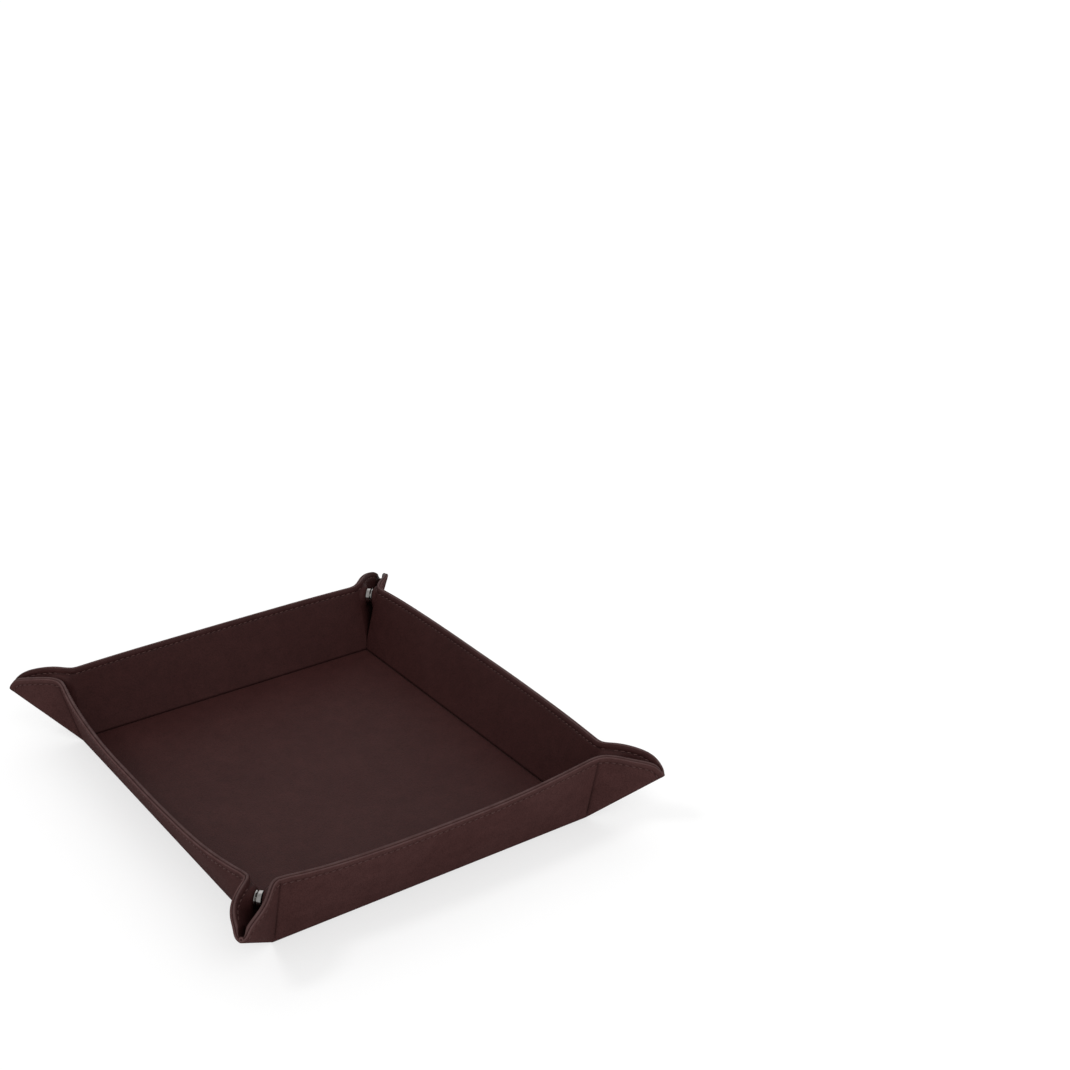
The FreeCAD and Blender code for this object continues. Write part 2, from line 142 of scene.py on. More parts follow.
# Extra turn right beside the ear's fold, and how far from the fold it fades, so that the fold is round.
FOLD_ROUND = 0.55
FOLD_SOFT = 3.6
# Middle of the press stud on a leaf, how widely it pinches the leaves, half its height, and its seat.
SNAP_SPOT = (7.0, 32.0)
SNAP_PINCH = 7.0
SNAP_HALF = 1.6
SEAT_REACH = 8.0
SEAT_SLOPE = 3.6
# Leather left clear round a wall's board, and the height of its inner face.
BOARD_MARGIN = 6.0
BOARD_HIGH = 0.55
# Radius at which a leather ends on its neighbour's rounded fold, and how far a lining stays from an
# ear's fold.
FEATHER = 1.41
LINING_KEEP = 1.45
# Stitches: slant, depth of the thread's middle, clear length on a wall, and clear distance from an ear's
# fold on the lining (1) and on the outer leather (-1).
STITCH_SLANT = 0.12
STITCH_SINK = 0.2
STITCH_CLEAR = 2.2
STITCH_STOP = {1: 7.4, -1: 1.9}
# Points closer than this are one, and edges sharper than this stay sharp.
WELD = 2e-6
SHARP = math.radians(50)

CORNERS = [("front", "left"), ("front", "right"), ("back", "left"), ("back", "right")]
SIGN = {"front": -1, "back": 1, "left": -1, "right": 1}
# Yaw of each wall in degrees, middle of its fold and length.
WALLS = {
    "front": (180, (0, -FLOOR_DEPTH / 2), FLOOR_WIDTH),
    "back": (0, (0, FLOOR_DEPTH / 2), FLOOR_WIDTH),
    "left": (90, (-FLOOR_WIDTH / 2, 0), FLOOR_DEPTH),
    "right": (-90, (FLOOR_WIDTH / 2, 0), FLOOR_DEPTH),
}


def smooth(x):
    """Eased step from 0 to 1."""
    x = np.clip(x, 0.0, 1.0)
    return x * x * (3 - 2 * x)


def wall_place(name):
    """Frame of a wall: x along its fold, y up its face, z into the tray."""
    yaw, middle, _ = WALLS[name]
    shift = Matrix.Translation((middle[0], middle[1], HALF))
    return shift @ Matrix.Rotation(math.radians(yaw), 4, "Z") @ Matrix.Rotation(FOLD, 4, "X")


def leaf_place(wall, side):
    """Frame of the leaf at a wall's first (-1) or last (1) end."""
    shift = Matrix.Translation((side * WALLS[wall][2] / 2, 0, 0))
    return wall_place(wall) @ shift @ Matrix.Rotation(side * CREASE, 4, "Y")


class Shell:
    """Points and faces of one piece in the millimetres of its own panel, with marks for the material."""

    def __init__(self):
        self.points = []
        self.faces = []
        self.wear_and_painted_light = []
        self.painted_shade = []
        self.turned = []

    def grid(self, points, wear_and_painted_light, painted_shade, turned=1.0):
        """A tube of stations with closed ends. Each station is a closed loop of profile points."""
        stations, rows = points.shape[:2]
        first = len(self.points)
        self.points.extend(points.reshape(-1, 3).tolist())
        self.wear_and_painted_light.extend(np.broadcast_to(wear_and_painted_light, (stations, rows)).ravel().tolist())
        self.painted_shade.extend(np.broadcast_to(painted_shade, (stations, rows)).ravel().tolist())
        self.turned.extend(np.broadcast_to(turned, (stations, rows)).ravel().tolist())
        for j in range(stations - 1):
            for i in range(rows):
                k = (i + 1) % rows
                a = first + j * rows
                b = a + rows
                self.faces.append((a + i, a + k, b + k, b + i))
        self.faces.append(tuple(first + i for i in range(rows)))
        last = first + (stations - 1) * rows
        self.faces.append(tuple(last + i for i in reversed(range(rows))))

    def make(self, name, place, material, body, mirror=1):
        """The finished object, in metres, handed to carry, which puts it on its body unless it is on a wall
        or a leaf.
        """
        mesh = bpy.data.meshes.new(name)
        points = np.array(self.points, float)
        points[:, 0] *= mirror
        turn = np.array(place, float)
        world = (points @ turn[:3, :3].T + turn[:3, 3]) * MILLIMETRE
        mesh.from_pydata(world.tolist(), [], self.faces)
        for label, values in (("wear_and_painted_light", self.wear_and_painted_light), ("painted_shade", self.painted_shade), ("turned", self.turned)):
            mark = mesh.attributes.new(label, "FLOAT", "POINT")
            mark.data.foreach_set("value", np.array(values, np.float32))
        work = bmesh.new()
        work.from_mesh(mesh)
        bmesh.ops.remove_doubles(work, verts=work.verts, dist=WELD)
        bmesh.ops.recalc_face_normals(work, faces=work.faces)
        work.to_mesh(mesh)
        work.free()
        mesh.polygons.foreach_set("use_smooth", [True] * len(mesh.polygons))
        mesh.set_sharp_from_angle(angle=SHARP)
        mesh.materials.append(material)
        piece = bpy.data.objects.new(name, mesh)
        bpy.context.scene.collection.objects.link(piece)
        carry(piece, body)
        return piece


def carry(piece, body):
    """Puts a piece on its body, unless it is on a wall or a leaf: such a piece, already bowed or opened in
    its points, is baked to world space, and the shares of the fold that its points still have to turn are
    read but not used."""
    if body.endswith("_wall"):
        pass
    elif "socket" in body:
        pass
    elif "stud" in body:
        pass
    else:
        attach(piece, body)
        return
    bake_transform(piece)
    shares = np.zeros(len(piece.data.vertices), np.float32)
    piece.data.attributes["turned"].data.foreach_get("value", shares)


# Materials.


def new_material(name):
    material = bpy.data.materials.new(name)
    material.use_nodes = True
    nodes = material.node_tree.nodes
    return material, nodes, material.node_tree.links, nodes["Principled BSDF"]


def mapped(nodes, links, value, low, high, to_low, to_high):
    node = nodes.new("ShaderNodeMapRange")
    node.inputs["From Min"].default_value = low
    node.inputs["From Max"].default_value = high
    node.inputs["To Min"].default_value = to_low
    node.inputs["To Max"].default_value = to_high
    links.new(value, node.inputs["Value"])
    return node.outputs["Result"]


def mixed(nodes, links, share, first, second, blend="MIX"):
    node = nodes.new("ShaderNodeMix")
    node.data_type = "RGBA"
    node.blend_type = blend
    for socket, value in ((0, share), (6, first), (7, second)):
        if isinstance(value, (float, tuple)):
            node.inputs[socket].default_value = value
        else:
            links.new(value, node.inputs[socket])
    return node.outputs[2]


def texture(nodes, links, kind, scale, **values):
    node = nodes.new(kind)
    node.inputs["Scale"].default_value = scale
    for name, value in values.items():
        node.inputs[name].default_value = value
    where = nodes.new("ShaderNodeTexCoord")
    links.new(where.outputs["Object"], node.inputs["Vector"])
    return node


def marked(nodes, label):
    node = nodes.new("ShaderNodeAttribute")
    node.attribute_name = label
    return node.outputs["Fac"]


def leather(name, base, deep, wear_and_painted_light, shine, dull):
    """Fine pebbled leather: grain with dark valleys, slow tone changes, edges lighter for wear and a
    painted highlight, and painted shade in creases, grooves and the stitch channel.
    """
    material, nodes, links, shader = new_material(name)
    pebble = texture(nodes, links, "ShaderNodeTexVoronoi", 1500, Randomness=0.9)
    pebble.feature = "SMOOTH_F1"
    pebble.inputs["Smoothness"].default_value = 0.35
    fine = texture(nodes, links, "ShaderNodeTexNoise", 4200, Detail=4.0, Roughness=0.6)
    broad = texture(nodes, links, "ShaderNodeTexNoise", 28, Detail=3.0, Roughness=0.55)
    patch = texture(nodes, links, "ShaderNodeTexNoise", 160, Detail=5.0, Roughness=0.6)
    valley = mapped(nodes, links, pebble.outputs["Distance"], 0.35, 0.75, 0.0, 1.0)
    tone = mixed(nodes, links, mapped(nodes, links, broad.outputs["Fac"], 0.35, 0.65, 0.0, 1.0), base, deep)
    speck = mapped(nodes, links, patch.outputs["Fac"], 0.3, 0.7, 0.9, 1.1)
    tone = mixed(nodes, links, 1.0, tone, speck, "MULTIPLY")
    shade = mapped(nodes, links, valley, 0.0, 1.0, 1.0, 0.78)
    tone = mixed(nodes, links, 1.0, tone, shade, "MULTIPLY")
    # Lighter edges and fold rounds: wear and a painted highlight.
    rub_and_highlight = nodes.new("ShaderNodeMath")
    rub_and_highlight.operation = "MULTIPLY"
    links.new(marked(nodes, "wear_and_painted_light"), rub_and_highlight.inputs[0])
    links.new(mapped(nodes, links, patch.outputs["Fac"], 0.3, 0.7, 0.45, 1.0), rub_and_highlight.inputs[1])
    tone = mixed(nodes, links, rub_and_highlight.outputs[0], tone, wear_and_painted_light)
    # Painted shade in creases, grooves, the stitch channel and along the line at the floor.
    painted_shade_factor = mapped(nodes, links, marked(nodes, "painted_shade"), 0.0, 1.0, 1.0, 0.4)
    tone = mixed(nodes, links, 1.0, tone, painted_shade_factor, "MULTIPLY")
    links.new(tone, shader.inputs["Base Color"])
    gloss = mapped(nodes, links, fine.outputs["Fac"], 0.3, 0.7, dull - 0.08, dull + 0.08)
    links.new(gloss, shader.inputs["Roughness"])
    shader.inputs["Specular IOR Level"].default_value = shine
    height = nodes.new("ShaderNodeMath")
    height.operation = "MULTIPLY_ADD"
    links.new(fine.outputs["Fac"], height.inputs[0])
    height.inputs[1].default_value = 0.35
    links.new(mapped(nodes, links, pebble.outputs["Distance"], 0.15, 0.8, 1.0, 0.0), height.inputs[2])
    bump = nodes.new("ShaderNodeBump")
    bump.inputs["Strength"].default_value = 0.5
    bump.inputs["Distance"].default_value = 0.00012
    links.new(height.outputs[0], bump.inputs["Height"])
    links.new(bump.outputs["Normal"], shader.inputs["Normal"])
    return material


def thread_material():
    """Twisted waxed thread, a shade lighter than the leather."""
    material, nodes, links, shader = new_material("stitch_thread")
    strands = texture(nodes, links, "ShaderNodeTexNoise", 3500, Detail=3.0)
    share = mapped(nodes, links, strands.outputs["Fac"], 0.3, 0.7, 0.0, 1.0)
    tone = mixed(nodes, links, share, (0.084, 0.042, 0.039, 1), (0.058, 0.026, 0.024, 1))
    links.new(tone, shader.inputs["Base Color"])
    shader.inputs["Roughness"].default_value = 0.6
    shader.inputs["Specular IOR Level"].default_value = 0.1
    bump = nodes.new("ShaderNodeBump")
    bump.inputs["Strength"].default_value = 0.4
    bump.inputs["Distance"].default_value = 0.00006
    links.new(strands.outputs["Fac"], bump.inputs["Height"])
    links.new(bump.outputs["Normal"], shader.inputs["Normal"])
    return material


def metal_material(name, tone, dull, low, high):
    """Plated metal with faint handling marks."""
    material, nodes, links, shader = new_material(name)
    haze = texture(nodes, links, "ShaderNodeTexNoise", 900, Detail=4.0)
    share = mapped(nodes, links, haze.outputs["Fac"], 0.35, 0.7, 0.0, 1.0)
    links.new(mixed(nodes, links, share, tone, dull), shader.inputs["Base Color"])
    links.new(mapped(nodes, links, haze.outputs["Fac"], 0.3, 0.7, low, high), shader.inputs["Roughness"])
    shader.inputs["Metallic"].default_value = 1.0
    return material


def board_material():
    """Grey fibre board."""
    material, nodes, links, shader = new_material("grey_board")
    fibres = texture(nodes, links, "ShaderNodeTexNoise", 600, Detail=6.0)
    share = mapped(nodes, links, fibres.outputs["Fac"], 0.3, 0.7, 0.0, 1.0)
    tone = mixed(nodes, links, share, (0.30, 0.27, 0.23, 1), (0.22, 0.20, 0.17, 1))
    links.new(tone, shader.inputs["Base Color"])
    shader.inputs["Roughness"].default_value = 0.9
    return material


# The same leather as the lining, with a lighter base: painted light in place of the sheen of the outer
# faces.
OUTER_WITH_PAINTED_LIGHT = leather(
    "outer_leather_brown_painted_light",
    base=(0.0650, 0.0290, 0.0277, 1),
    deep=(0.0585, 0.0250, 0.0238, 1),
    wear_and_painted_light=(0.096, 0.056, 0.054, 1),
    shine=0.015,
    dull=0.88,
)
LINING = leather(
    "lining_leather_brown",
    base=(0.0415, 0.0138, 0.0129, 1),
    deep=(0.0370, 0.0117, 0.0110, 1),
    wear_and_painted_light=(0.084, 0.048, 0.046, 1),
    shine=0.1,
    dull=0.62,
)
THREAD = thread_material()
CHROME = metal_material("snap_chrome", (0.38, 0.37, 0.36, 1), (0.27, 0.26, 0.25, 1), 0.06, 0.14)
STEEL = metal_material("eyelet_steel", (0.36, 0.35, 0.34, 1), (0.28, 0.27, 0.26, 1), 0.25, 0.4)
BOARD = board_material()

# Profiles across the leather. A row is (share, offset, height, mark): the point sits at share of the
# panel's rise plus offset, at that height through the thickness. Rows with share 1 count down from the rim.
# A positive mark lightens the leather for wear and a painted highlight; a negative mark is painted shade in
# the stitch channel.


def bead(centre, half, rise, from_low):
    """Rows over the rounded rim of one leather."""
    rows = []
    for step in range(9):
        angle = math.pi * step / 8
        across = -math.cos(angle) if from_low else math.cos(angle)
        top = math.sin(angle)
        # Lighter towards the top of the bead: wear and a painted highlight.
        rows.append((1, -rise * (1 - top), centre + half * across, top**2))
    return rows


def face_rows(sign):
    """The outer face (-1) or the inner face (1) from the rim bead down past the stitch channel."""
    level = sign * HALF
    puff = sign * RIM_PUFF
    rows = [
        # The rows next to the rim are a little lighter: wear and a painted highlight.
        (1, -0.95, level + puff * 0.6, 0.25),
        (1, -1.6, level + puff, 0.05),
        (1, -2.3, level + puff * 0.5, 0),
    ]
    for inset, depth in CHANNEL_ROWS:
        # Negative marks: painted shade in the stitch channel, darkest where it is deepest.
        rows.append((1, -inset, level - sign * depth, -CHANNEL_DARK * depth / CHANNEL_DEPTH))
    rows.append((1, -4.6, level, 0))
    rows.append((1, -RIM_ZONE, level, 0))
    return rows


def rim_rise(past):
    """Height of the rim at a distance past the crease: level along the wall, then along the ear's arc."""
    chord = math.hypot(TIP, WALL_HEIGHT - TIP) / 2
    drop = math.sqrt(EDGE_RADIUS**2 - chord**2) / (2 * chord)
    out = TIP / 2 - (WALL_HEIGHT - TIP) * drop
    up = (WALL_HEIGHT + TIP) / 2 - TIP * drop
    if past <= -EDGE_BLEND:
        return WALL_HEIGHT
    if past >= EDGE_BLEND:
        reach = min((past - EDGE_BLEND) / (TIP - EDGE_BLEND), 1.0)
        fuller = EDGE_FULL * FULL_PEAK * reach**4 * (1 - reach)
        return up + math.sqrt(max(EDGE_RADIUS**2 - (past - out) ** 2, 0)) + fuller
    end = up + math.sqrt(EDGE_RADIUS**2 - (EDGE_BLEND - out) ** 2)
    slope = (out - EDGE_BLEND) / (end - up)
    t = (past + EDGE_BLEND) / (2 * EDGE_BLEND)
    blend = t * t * (3 - 2 * t)
    return WALL_HEIGHT + (end - WALL_HEIGHT) * blend + slope * 2 * EDGE_BLEND * (t**3 - t**2)


def bend_turn(past):
    """How far a panel turns beside a crease, so that wall and leaf join in one curve."""
    return BEND_TURN * np.clip(1 - past / BEND, 0, 1) ** 2


def groove(past, rise, below_rim):
    """Depth of the pressed line on the outer face beside a crease."""
    x = np.clip(1 - past / GROOVE_WIDTH, 0, 1)
    round_over = 1 - np.sqrt(np.clip(1 - x * x, 0, 1))
    return GROOVE_DEPTH * round_over * smooth((below_rim - 1.2) / 2.2) * smooth(rise / 3)


def groove_dark(dent):
    """Painted shade where the groove is deep."""
    return smooth(dent / GROOVE_DEPTH * 1.6)


def crease_shade(past, rise, below_rim, reach):
    """Painted shade beside a crease on the outer face."""
    near = np.exp(-((past / reach) ** 2))
    return SHADE_DARK * near * smooth((below_rim - 0.6) / 1.6) * smooth(rise / 3)


# Walls.


def wall_profile(inner):
    """Rows round a wall's lining or outer leather."""
    if inner:
        rows = bead(*LINING_BEAD) + face_rows(1)
        rows += [(share, 0, HALF, 0) for share in WALL_SHARES]
        for lift, sink in LINE_ROWS:
            rows.append((0, INNER_LOW + lift - sink * math.tan(FOLD / 2), HALF - sink, 0))
        for step in range(9):
            angle = FOLD / 2 - step * math.radians(140) / 8
            rows.append((0, FOLD_CORE * math.sin(angle), FOLD_CORE * math.cos(angle), 0))
        rows.append((0, 0.9, SEAM, 0))
        rows += [(0.5, 0, SEAM, 0), (1, -2.0, SEAM, 0)]
    else:
        rows = bead(*OUTER_BEAD) + face_rows(-1)
        rows += [(share, 0, -HALF, 0) for share in WALL_SHARES]
        rows += [(0, 2.4, -HALF, 0), (0, 1.0, -HALF, 0)]
        for step in range(12):
            angle = (FOLD + math.radians(14)) * step / 11
            # The outer round of the fold is a little lighter in the middle: wear and a painted highlight.
            rub_and_highlight = 0.25 * math.sin(math.pi * step / 11)
            rows.append((0, -HALF * math.sin(angle), -HALF * math.cos(angle), rub_and_highlight))
        rows += [(0, 0.2, SEAM, 0), (0.5, 0, SEAM, 0), (1, -2.0, SEAM, 0)]
    return rows


def end_spread(half):
    """Stations along a wall, close together at both ends."""
    near = NEAR_CREASE + [5.5, 7.5, 10]
    middle = np.linspace(-half + 14, half - 14, int(half / 3.5))
    return np.concatenate([[-half + x for x in near], middle, [half - x for x in reversed(near)]])


def bow_angle(name, along):
    """How far a wall leans out beyond its fold's angle, along its length and beside its creases."""
    middle, first, last = BOWS[name]
    half = WALLS[name][2] / 2
    x = along / half
    bow = middle * (1 - np.abs(x) ** np.where(x < 0, first, last)) / WALL_HEIGHT
    return bow + bend_turn(half - np.abs(along))


def bowed(name, along, u, v, w):
    """A point of a wall after its bow, and the share of the fold that it still has to turn."""
    angle = bow_angle(name, along)
    c, s = np.cos(angle), np.sin(angle)
    return np.stack([u, v * c + w * s, w * c - v * s], -1), 1 - angle / FOLD


def wave(along, rise, seed):
    """Slight unevenness of a hand-turned wall."""
    slow = np.sin(along * 0.047 + seed) + 0.6 * np.sin(along * 0.113 + 2.1 * seed)
    return WAVE_HEIGHT * slow * smooth(rise / 14) * smooth((rise - 4) / 10)


def make_wall(name, inner, seed):
    """The lining or the outer leather of a wall."""
    half = WALLS[name][2] / 2
    share, offset, height, wear_and_painted_light = (np.array(x, float) for x in zip(*wall_profile(inner)))
    along = end_spread(half)
    rise = np.array([rim_rise(abs(x) - half) for x in along])
    v = rise[:, None] * share + offset
    w = np.broadcast_to(height, v.shape).copy()
    u = np.broadcast_to(along[:, None], v.shape)
    past = half - np.abs(u)
    below = rise[:, None] - v
    mitre = smooth(v / MITRE_START)
    w += wave(u, v, seed) * smooth(past / WAVE_CLEAR)
    if inner:
        reach = half + (w - v * bend_turn(past)) * math.tan(CREASE / 2) * mitre
        inward = -v * math.cos(FOLD) + w * math.sin(FOLD)
        reach = np.minimum(reach, half - inward - 0.02)
        # Painted shade along the line where the wall's lining meets the floor's.
        line = LINE_DARK * smooth((INNER_LOW + LINE_REACH - v) / LINE_REACH)
        painted_shade = line * (share == 0) * (height > 0.6)
    else:
        face = (height < -FACE_HEIGHT)[None, :]
        dent = groove(past, v, below) * face
        w += dent
        reach = half + w * math.tan(CREASE / 2) * mitre
        reach = reach + CREASE_LAP * (1 - smooth((v - 1) / 4))
        # Painted shade in the pressed groove and beside the crease.
        shade = crease_shade(past, v, below, SHADE_WALL) * face
        painted_shade = np.maximum(groove_dark(dent), shade)
    # Adds the painted shade of the stitch channel.
    painted_shade = painted_shade + np.maximum(-wear_and_painted_light, 0)
    points, turned = bowed(name, along[:, None] + 0 * v, u * reach / half, v, w)
    shell = Shell()
    shell.grid(points, np.maximum(wear_and_painted_light, 0)[None, :], np.clip(painted_shade, 0, 1), turned)
    node = f"{name}_wall_{'lining' if inner else 'outer'}"
    piece = shell.make(node + "_skin", wall_place(name), LINING if inner else OUTER_WITH_PAINTED_LIGHT, f"{name}_wall")
    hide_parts(node)


def make_board(name):
    """The stiffening board inside a wall, bowed with it."""
    half = WALLS[name][2] / 2 - BOARD_MARGIN
    top = WALL_HEIGHT - BOARD_MARGIN
    rises = [BOARD_MARGIN, BOARD_MARGIN + 2, 15, 20, 25, top - 2, top]
    loop = [(v, BOARD_HIGH) for v in rises] + [(v, SEAM + 0.05) for v in reversed(rises)]
    along = np.concatenate([[-half], np.linspace(-half + 1.5, half - 1.5, 41), [half]])
    v, w = (np.array(x, float) for x in zip(*loop))
    short = np.where(np.abs(along) > half - 1, 1.0, 0.0)[:, None]
    v = v[None, :] + short * np.sign(WALL_HEIGHT / 2 - v)[None, :] * (np.abs(v - WALL_HEIGHT / 2) > 13)
    u = along[:, None] + 0 * v
    points, turned = bowed(name, u, u, v, np.broadcast_to(w, v.shape))
    shell = Shell()
    shell.grid(points, 0.0, 0.0, turned)
    node = f"{name}_wall_board"
    piece = shell.make(node + "_bowed", wall_place(name), BOARD, f"{name}_wall")
    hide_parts(node)


for index, wall in enumerate(WALLS):
    make_wall(wall, False, WAVE_PHASE + index)
    make_wall(wall, True, WAVE_PHASE + index)
    make_board(wall)

# Ear leaves, built for the side where out is +x and mirrored for the other.


def leaf_stations():
    """Stations from a leaf's crease to its tip, close together at both."""
    middle = list(np.linspace(5.2, TIP - 4.5, 20))
    far = [TIP - x for x in (3.4, 2.6, 1.9, 1.3, 0.8, 0.4, 0.15, 0)]
    return np.array(NEAR_CREASE + middle + far)


def leaf_paths(out):
    """Rim points of a leaf and the way inward from each: square to the rim, but along the crease at one end
    and along the fold at the other."""
    rise = np.array([rim_rise(x) for x in out])
    rise[-1] = TIP
    rim = np.stack([out, rise], -1)
    step = 0.01
    slope = np.array([rim_rise(min(x + step, TIP)) - rim_rise(x - step) for x in out])
    slope /= np.minimum(out + step, TIP) - (out - step)
    inward = np.stack([slope, -np.ones_like(slope)], -1)
    inward /= np.linalg.norm(inward, axis=1)[:, None]
    start = (1 - smooth(out / 9))[:, None]
    end = (1 - smooth((TIP - out) / 9))[:, None]
    inward = inward * (1 - start) + np.array([0.0, -1.0]) * start
    inward = inward * (1 - end) + np.array([-1.0, -1.0]) / ROOT2 * end
    inward /= np.linalg.norm(inward, axis=1)[:, None]
    return rim, inward


def leaf_profile(inner):
    """Rows round a leaf's lining or outer leather."""
    if inner:
        rows = bead(*LINING_BEAD) + face_rows(1)
        rows += [(share, 0, HALF, 0) for share in LEAF_SHARES]
        rows += [(0.09, 0, SEAM, 0), (0.5, 0, SEAM, 0), (0.98, 0, SEAM, 0)]
    else:
        rows = bead(*OUTER_BEAD) + face_rows(-1)
        rows += [(share, 0, -HALF, 0) for share in LEAF_SHARES] + [(0.04, 0, -HALF, 0)]
        rows += [(0.04, 0, SEAM, 0), (0.5, 0, SEAM, 0), (0.98, 0, SEAM, 0)]
    return rows


def ear_turn(x, y, spread):
    """How far a leaf turns out about the ear's fold: most along the fold, none at the press stud."""
    toward = np.clip(np.arctan2(np.maximum(x, 0), y) / (math.pi / 4), 0, 1)
    pinch = 1 - np.exp(-((np.hypot(x - SNAP_SPOT[0], y - SNAP_SPOT[1]) / SNAP_PINCH) ** 2))
    rounded = FOLD_ROUND * np.exp(-(((y - x) / ROOT2 / FOLD_SOFT) ** 2))
    opening = (spread * smooth(toward / 0.8) + rounded) * smooth((np.hypot(x, y) - 6) / 26) * pinch
    return opening + ROOT2 * bend_turn(np.maximum(x, 0))


def opened(x, y, w, spread):
    """A point of a leaf after it is opened, and the share of the ear's fold that it still has to turn."""
    angle = ear_turn(x, y, spread)
    along = (x + y) / ROOT2
    off = (y - x) / ROOT2
    c, s = np.cos(angle), np.sin(angle)
    off, w = off * c + w * s, w * c - off * s
    spot = np.stack([(along - off) / ROOT2, (along + off) / ROOT2, w], -1)
    return spot, 1 - angle / EAR_TURN


def snap_seat(x, y):
    """Rise of the lining to the flat seat of a snap half, square to the line of the snap."""
    foot = (SNAP_SPOT[1] - SNAP_SPOT[0]) / ROOT2
    base = foot * math.sin(EAR_HALF) - SNAP_HALF
    shift = base * math.sin(EAR_HALF)
    level = base * math.cos(EAR_HALF) + math.tan(EAR_HALF) * ((y - x) / ROOT2 - foot + shift)
    away = np.hypot(x - SNAP_SPOT[0] - shift / ROOT2, y - SNAP_SPOT[1] + shift / ROOT2)
    return np.maximum(level - HALF - 0.03, 0) * smooth((SEAT_REACH - away) / SEAT_SLOPE)


def leaf_grid(inner, owns_fold, spread):
    """Points and marks of a leaf. The leaf without the fold's bar ends on that bar."""
    share, offset, height, wear_and_painted_light = (np.array(x, float) for x in zip(*leaf_profile(inner)))
    out = leaf_stations()
    rim, inward = leaf_paths(out)
    base = rim + inward * RIM_ZONE
    at_rim = (share == 1)[None, :, None]
    place = np.where(
        at_rim,
        rim[:, None, :] - inward[:, None, :] * offset[None, :, None],
        base[:, None, :] * share[None, :, None],
    )
    x, y = place[..., 0], place[..., 1]
    w = np.broadcast_to(height, x.shape).copy()
    below = np.where(share == 1, -offset, RIM_ZONE)[None, :] + 0 * x
    toward = np.clip(np.arctan2(x, y) / (math.pi / 4), 0, 1)
    past = np.maximum(x, 0)
    painted_shade = 0.0
    set_back = 0.0
    if inner:
        w += snap_seat(x, y) * (height > FACE_HEIGHT)[None, :]
        set_back = y * bend_turn(past)
    else:
        face = (height < -FACE_HEIGHT)[None, :]
        dent = groove(past, y, below) * face
        # Painted shade in the pressed groove and beside the crease.
        painted_shade = np.maximum(groove_dark(dent), crease_shade(past, y, below, SHADE_LEAF) * face)
        w += dent
    x = x - (w - set_back) * math.tan(CREASE / 2) * (1 - toward) ** 4
    if inner:
        keep = LINING_KEEP * toward**6
        x, y = x - keep / ROOT2, y + keep / ROOT2
        from_fold = (y - x) / ROOT2
        w = np.minimum(w, np.maximum(from_fold * math.tan(EAR_HALF) - 0.04, SEAM + 0.05))
    elif not owns_fold:
        keep = np.sqrt(np.clip(FEATHER**2 - np.minimum(w, 0) ** 2, 0, None)) * toward**6
        x, y = x - keep / ROOT2, y + keep / ROOT2
    # Adds the painted shade of the stitch channel.
    painted_shade = np.clip(painted_shade + np.maximum(-wear_and_painted_light, 0), 0, 1)
    points, turned = opened(x, y, w, spread)
    return points, np.maximum(wear_and_painted_light, 0)[None, :], painted_shade, turned


def fold_bar():
    """The rounded outer leather along an ear's fold, from the floor's corner to the rim at the tip."""
    turns = 24
    rings = []
    for step in range(7):
        angle = math.pi / 2 * step / 6
        rings.append((-HALF * math.cos(angle), HALF * math.sin(angle), 0.0))
    # The fold's bar and its end bead are a little lighter: wear and a painted highlight.
    for along in np.linspace(2, EAR_REACH - 1.2, 18):
        rings.append((along, HALF, 0.1))
    for across, inset, rub_and_highlight in [(c[2], -c[1], c[3]) for c in reversed(bead(*OUTER_BEAD))]:
        rings.append((EAR_REACH - inset, -across, rub_and_highlight))
    rings.append((EAR_REACH - 0.75, 0.02, 0))
    along_fold = np.array([1, 1, 0]) / ROOT2
    off_fold = np.array([-1, 1, 0]) / ROOT2
    up = np.array([0, 0, 1.0])
    points = np.zeros((len(rings), turns, 3))
    for j, (along, radius, _) in enumerate(rings):
        for i in range(turns):
            angle = 2 * math.pi * i / turns
            around = off_fold * math.cos(angle) + up * math.sin(angle)
            points[j, i] = along_fold * along + around * max(radius, 0.02)
    wear_and_painted_light = np.array([r[2] for r in rings])[:, None]
    return points, wear_and_painted_light


def make_leaf(corner, kind, wall, side, inner, spread):
    """The lining or the outer leather of a leaf."""
    shell = Shell()
    owns_fold = kind == "socket"
    points, wear_and_painted_light, painted_shade, turned = leaf_grid(inner, owns_fold, spread)
    shell.grid(points, wear_and_painted_light, painted_shade, turned)
    if owns_fold and not inner:
        points, wear_and_painted_light = fold_bar()
        shell.grid(points, wear_and_painted_light, np.zeros(points.shape[:2]))
    body = f"{corner}_{kind}_leaf"
    node = f"{body}_{'lining' if inner else 'outer'}"
    piece = shell.make(node + "_skin", leaf_place(wall, side), LINING if inner else OUTER_WITH_PAINTED_LIGHT, body, side)
    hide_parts(node)


LEAVES = []
for depth_wall, width_wall in CORNERS:
    hand = SIGN[depth_wall] * SIGN[width_wall]
    LEAVES.append((f"{depth_wall}_{width_wall}", "socket", depth_wall, hand))
    LEAVES.append((f"{depth_wall}_{width_wall}", "stud", width_wall, -hand))
for corner, kind, wall, side in LEAVES:
    spread = SPREADS[corner][kind == "stud"]
    make_leaf(corner, kind, wall, side, False, spread)
    make_leaf(corner, kind, wall, side, True, spread)

# Floor.


def floor_loop(inset, level):
    """Points round a rectangle inset from the fold lines, the same count on every loop."""
    half_x = FLOOR_WIDTH / 2 - inset
    half_y = FLOOR_DEPTH / 2 - inset
    steps = np.linspace(-1, 1, FLOOR_STEPS + 1)[:-1]
    loop = [(half_x * s, -half_y) for s in steps] + [(half_x, half_y * s) for s in steps]
    loop += [(-half_x * s, half_y) for s in steps] + [(-half_x, -half_y * s) for s in steps]
    return [(x, y, level) for x, y in loop]


